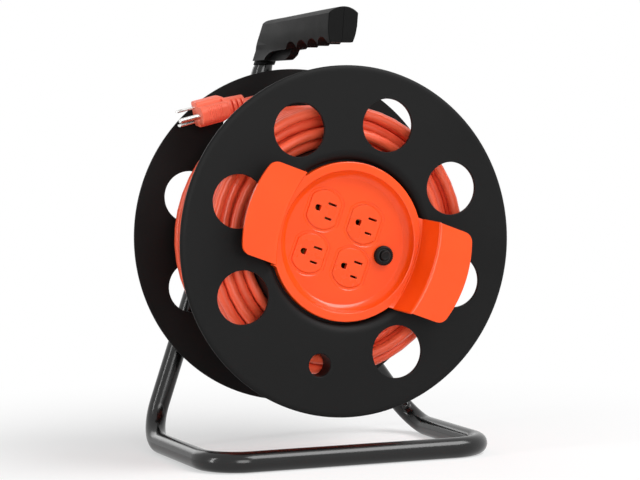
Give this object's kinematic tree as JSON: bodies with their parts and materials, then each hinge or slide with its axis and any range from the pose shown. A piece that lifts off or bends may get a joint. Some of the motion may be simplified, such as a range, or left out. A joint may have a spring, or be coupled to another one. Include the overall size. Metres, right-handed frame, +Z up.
{
  "type": "extension cord reel",
  "caption": "Extension cord reel: flanged drum with a recessed outlet panel, finger wings and a reset button, turning on a bent-tube stand with a carrying grip.",
  "frame": {"origin": "on the floor, under the middle of the stand and drum, in the axle's upright plane", "axes": "+Z up, -Y towards the outlet panel, +X to the right of someone facing the panel; the axle runs along Y"},
  "size_m": [0.3, 0.2126, 0.3893],
  "materials": {
    "black_enamel": "glossy black enamel on bent steel tube",
    "grip_plastic": "black moulded plastic with a low gloss",
    "black_plastic": "satin black moulded plastic",
    "nylon": "natural nylon",
    "orange_plastic": "satin orange moulded plastic",
    "cord_vinyl": "soft orange red vinyl jacket",
    "brass": "bright brass",
    "zinc_steel": "zinc plated steel",
    "white_wire": "white insulation",
    "black_wire": "black insulation",
    "green_wire": "green insulation"
  },
  "bodies": {
    "stand": {"stand_tube": "black_enamel", "right_leg": "black_enamel", "leg_bolt": "black_enamel", "leg_bolt_nut": "zinc_steel", "axle": "zinc_steel", "axle_front_nut": "zinc_steel", "axle_rear_nut": "zinc_steel", "front_washer": "zinc_steel", "rear_washer": "zinc_steel", "grip_left": "grip_plastic", "grip_right": "grip_plastic", "grip_screw_front": "zinc_steel", "grip_screw_rear": "zinc_steel"},
    "drum": {"front_flange": "black_plastic", "rear_flange": "black_plastic", "drum_barrel": "black_plastic", "hub_bush_front": "nylon", "hub_bush_rear": "nylon", "socket_dish": "orange_plastic", "outlet_1": "orange_plastic", "outlet_2": "orange_plastic", "outlet_3": "orange_plastic", "outlet_4": "orange_plastic", "breaker_body": "black_plastic", "breaker_collar": "black_plastic", "terminal_box": "black_plastic", "box_screw": "zinc_steel", "neutral_strip": "brass", "hot_strip": "brass", "ground_strip": "brass", "neutral_lead": "white_wire", "hot_lead": "black_wire", "ground_lead": "green_wire", "cord_gland": "nylon", "cord_grommet": "black_plastic", "cord_inner_lead": "cord_vinyl", "panel_screw_1": "zinc_steel", "panel_screw_2": "zinc_steel", "panel_screw_3": "zinc_steel", "panel_screw_4": "zinc_steel", "rear_screw_1": "zinc_steel", "rear_screw_2": "zinc_steel", "rear_screw_3": "zinc_steel", "rear_screw_4": "zinc_steel", "cord_core": "cord_vinyl", "cord_outer_layer": "cord_vinyl", "plug_body": "cord_vinyl", "plug_neutral_blade": "brass", "plug_hot_blade": "brass", "plug_ground_pin": "brass"},
    "button": {"reset_button": "black_plastic"}
  },
  "joints": [
    {"name": "drum_spin", "type": "hinge", "parent": "stand", "child": "drum", "pos_m": [0, 0, 0.1917], "axis": [0, 1, 0], "continuous": true},
    {"name": "reset_press", "type": "slide", "parent": "drum", "child": "button", "axis": [0, 1, 0], "range_m": [0, 0.002], "stiffness_N_per_m": 800}
  ]
}
